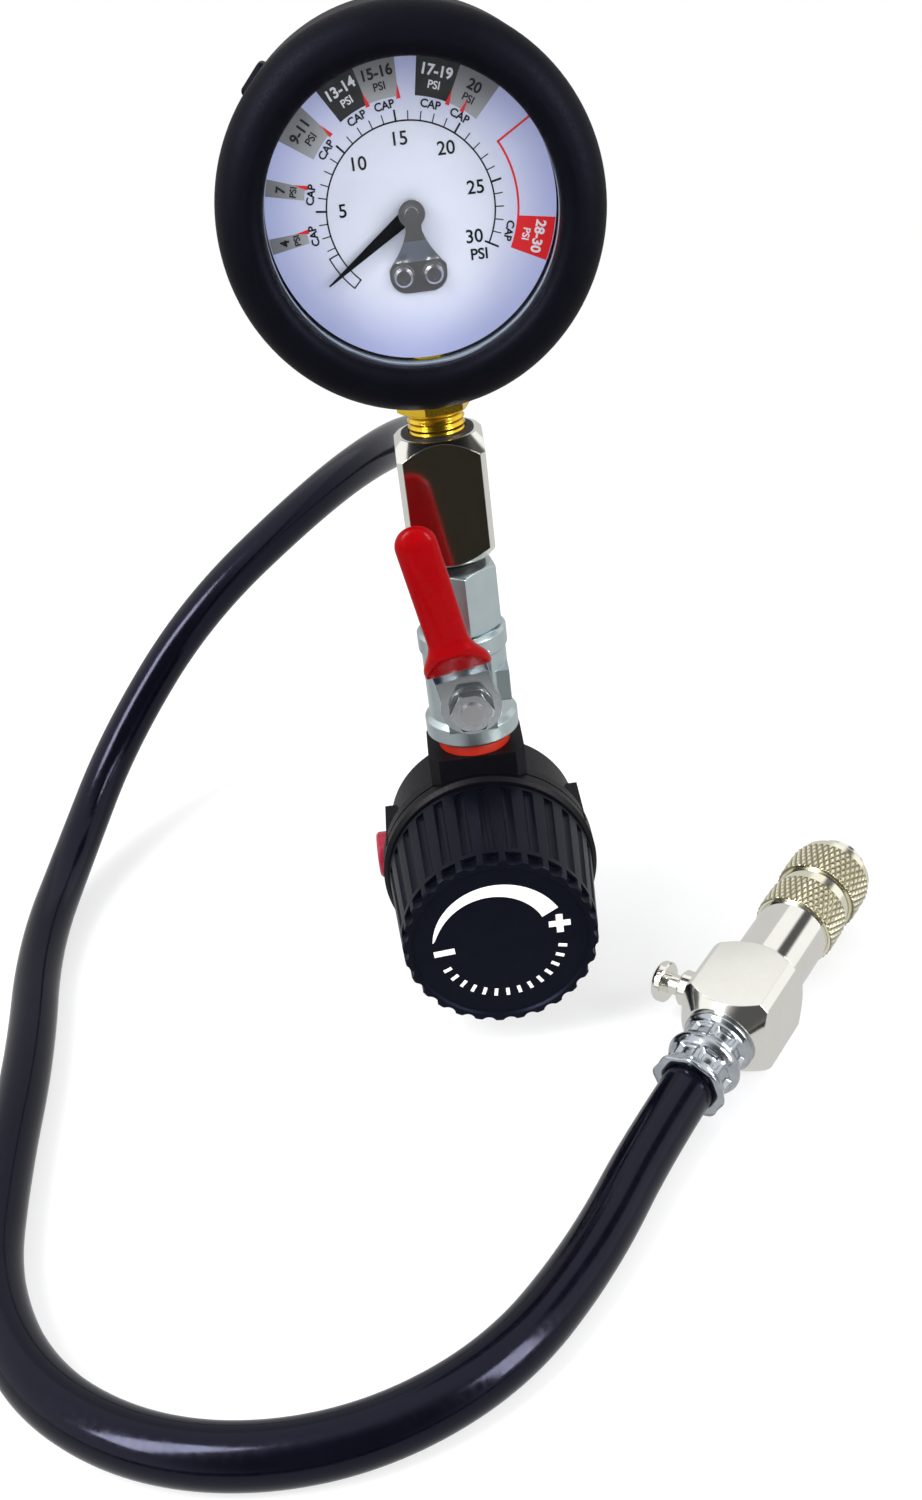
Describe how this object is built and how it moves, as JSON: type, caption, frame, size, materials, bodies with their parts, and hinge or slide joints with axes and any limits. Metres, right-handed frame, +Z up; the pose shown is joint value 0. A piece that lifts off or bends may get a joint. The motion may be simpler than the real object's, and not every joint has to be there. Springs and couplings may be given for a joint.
{
  "type": "cooling system pressure tester",
  "caption": "Dial gauge in a rubber boot on a column of tee block, ball valve and air regulator, with a hose to a quick coupler.",
  "frame": {"origin": "centre of the air inlet's mouth, in the regulator's bottom face, on which the tester stands", "axes": "+Z up the column to the gauge, -Y the side that the dial and the knob face, +X to the right of the dial"},
  "size_m": [0.2408, 0.2815, 0.2434],
  "materials": {
    "rubber_black": "matt moulded black rubber",
    "case_steel": "black enamelled steel",
    "glass": "clear",
    "dial": "white enamel with printed scale",
    "pointer_black": "satin black",
    "steel_bright": "polished stainless steel",
    "brass": "turned brass",
    "bronze": "drawn phosphor bronze",
    "spring_steel": "spring steel",
    "nickel": "bright nickel plate on brass",
    "satin_chrome": "satin chrome plate on brass",
    "zinc": "zinc-plated steel",
    "vinyl_red": "dipped red vinyl",
    "seal_orange": "orange-red seal",
    "seal_black": "black nitrile",
    "ptfe": "white PTFE",
    "plastic_black": "glass-filled black nylon",
    "knob_black": "satin black with white print",
    "plastic_red": "red plastic plug",
    "hose_black": "smooth glossy black hose",
    "ferrule_steel": "crimped zinc-plated steel"
  },
  "bodies": {
    "tester": {"gauge_boot": "rubber_black", "gauge_case": "case_steel", "gauge_lens": "glass", "dial_plate": "dial", "pointer_bridge": "steel_bright", "bridge_screws": "steel_bright", "movement_front_plate": "brass", "movement_back_plate": "brass", "movement_pillars": "brass", "hairspring": "bronze", "bourdon_tube": "bronze", "bourdon_tip": "brass", "gauge_stem": "brass", "tee_block": "nickel", "stem_seal": "seal_black", "nipple_seal": "seal_black", "port_seal": "seal_orange", "valve_body": "satin_chrome", "valve_end": "satin_chrome", "ball_seats": "ptfe", "stem_packing": "ptfe", "gland_nut": "zinc", "regulator_body": "plastic_black", "valve_cap": "plastic_black", "diaphragm": "seal_black", "spring_seat": "zinc", "bonnet": "plastic_black", "port_plug_left": "plastic_red", "port_plug_right": "zinc", "poppet_spring": "spring_steel", "range_spring": "spring_steel", "hose": "hose_black", "hose_barb_rear": "brass", "hose_ferrule_rear": "ferrule_steel", "hose_barb_coupler": "brass", "hose_ferrule_coupler": "ferrule_steel", "coupler_block": "nickel", "coupler_barrel": "nickel", "locking_balls": "steel_bright", "sleeve_spring": "spring_steel", "socket_seal": "seal_black", "retaining_ring": "spring_steel", "release_seat": "nickel", "button_spring": "spring_steel"},
    "needle": {"pointer": "pointer_black", "pointer_arbor": "steel_bright"},
    "sector": {"sector_gear": "brass"},
    "link": {"drive_link": "brass"},
    "lever": {"valve_lever": "zinc", "lever_sleeve": "vinyl_red", "lever_washer": "zinc", "lever_nut": "zinc", "valve_stem": "steel_bright", "valve_ball": "nickel"},
    "knob": {"adjusting_knob": "knob_black", "adjusting_screw": "zinc"},
    "spring_nut": {"adjusting_nut": "zinc"},
    "poppet": {"poppet": "brass"},
    "sleeve": {"coupler_sleeve": "nickel"},
    "button": {"release_button": "nickel"}
  },
  "joints": [
    {"name": "needle_turn", "type": "hinge", "parent": "tester", "child": "needle", "pos_m": [0, 0, 0.2019], "axis": [0, 1, 0], "range_deg": [0, 242], "stiffness_Nm_per_rad": 0.0003, "springref_deg": -8.59},
    {"name": "sector_turn", "type": "hinge", "parent": "tester", "child": "sector", "pos_m": [-0.003, 0, 0.19184], "axis": [0, 1, 0], "range_deg": [-30.5, 0]},
    {"name": "link_turn", "type": "hinge", "parent": "sector", "child": "link", "pos_m": [0.0017, 0, 0.19013], "axis": [0, 1, 0], "range_deg": [0, 30.5]},
    {"name": "lever_turn", "type": "hinge", "parent": "tester", "child": "lever", "pos_m": [0, 0, 0.0868], "axis": [0, 1, 0], "range_deg": [0, 90]},
    {"name": "knob_turn", "type": "hinge", "parent": "tester", "child": "knob", "pos_m": [0, 0, 0.034], "axis": [0, 1, 0], "range_deg": [0, 1440]},
    {"name": "nut_travel", "type": "slide", "parent": "tester", "child": "spring_nut", "axis": [0, 1, 0], "range_m": [0, 0.0051], "deforming": ["range_spring"]},
    {"name": "poppet_lift", "type": "slide", "parent": "tester", "child": "poppet", "axis": [0, 1, 0], "range_m": [0, 0.0008], "stiffness_N_per_m": 500, "springref_m": -0.002, "deforming": ["poppet_spring"]},
    {"name": "sleeve_pull", "type": "slide", "parent": "tester", "child": "sleeve", "axis": [-0.6133, -0.785, -0.0872], "range_m": [0, 0.004], "stiffness_N_per_m": 800, "springref_m": -0.002, "deforming": ["sleeve_spring"]},
    {"name": "release_press", "type": "slide", "parent": "tester", "child": "button", "axis": [0.788, -0.6157, 0], "range_m": [0, 0.0018], "stiffness_N_per_m": 600, "springref_m": -0.001, "deforming": ["button_spring"]}
  ],
  "couplings": [
    {"joint": "sector_turn", "follows": "needle_turn", "ratio": -0.125},
    {"joint": "link_turn", "follows": "needle_turn", "ratio": 0.125},
    {"joint": "nut_travel", "follows": "knob_turn", "m_per_rad": 0.00019894}
  ]
}
